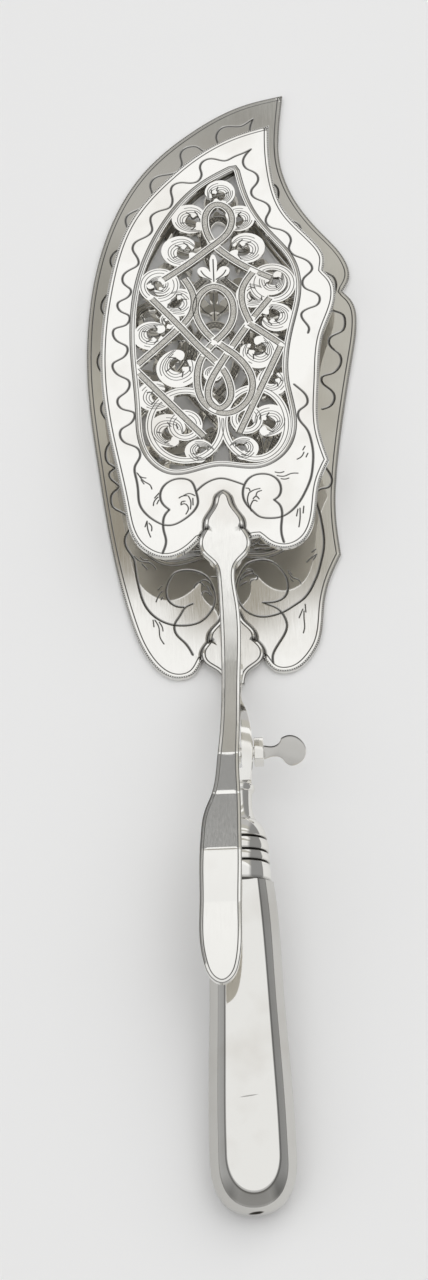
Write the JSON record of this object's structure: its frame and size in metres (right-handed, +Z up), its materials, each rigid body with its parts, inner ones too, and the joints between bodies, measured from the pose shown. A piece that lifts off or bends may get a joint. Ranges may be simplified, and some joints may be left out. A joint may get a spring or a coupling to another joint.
{
  "type": "fish serving tongs",
  "caption": "Double-bladed fish serving tongs: pierced slice on a hollow handle, with a smaller pierced blade that swings on a keyed pin.",
  "frame": {"origin": "on the surface that it lies on, below the middle of its length and width", "axes": "+Y along the tongs to the blade tips, +X to the side of the key, +Z up from the surface"},
  "size_m": [0.0799, 0.3465, 0.0306],
  "materials": {
    "blade_silver": "polished, engraved",
    "forged_silver": "polished",
    "handle_silver": "polished, lightly worn",
    "pitch": "dull"
  },
  "bodies": {
    "slice": {"lower_blade": "blade_silver", "stem": "forged_silver", "ferrule": "forged_silver", "handle_front": "handle_silver", "handle_back": "handle_silver", "handle_filling": "pitch"},
    "upper_unit": {"upper_blade": "blade_silver", "upper_lever": "forged_silver"},
    "key_pin": {"hinge_pin": "forged_silver", "pin_key": "forged_silver"}
  },
  "joints": [
    {"name": "blade_swing", "type": "hinge", "parent": "slice", "child": "upper_unit", "pos_m": [0, -0.04856, 0.0165], "axis": [1, 0, 0], "range_deg": [0, 7.5]},
    {"name": "pin_turn", "type": "hinge", "parent": "slice", "child": "key_pin", "pos_m": [0, -0.04856, 0.0165], "axis": [1, 0, 0], "continuous": true}
  ]
}
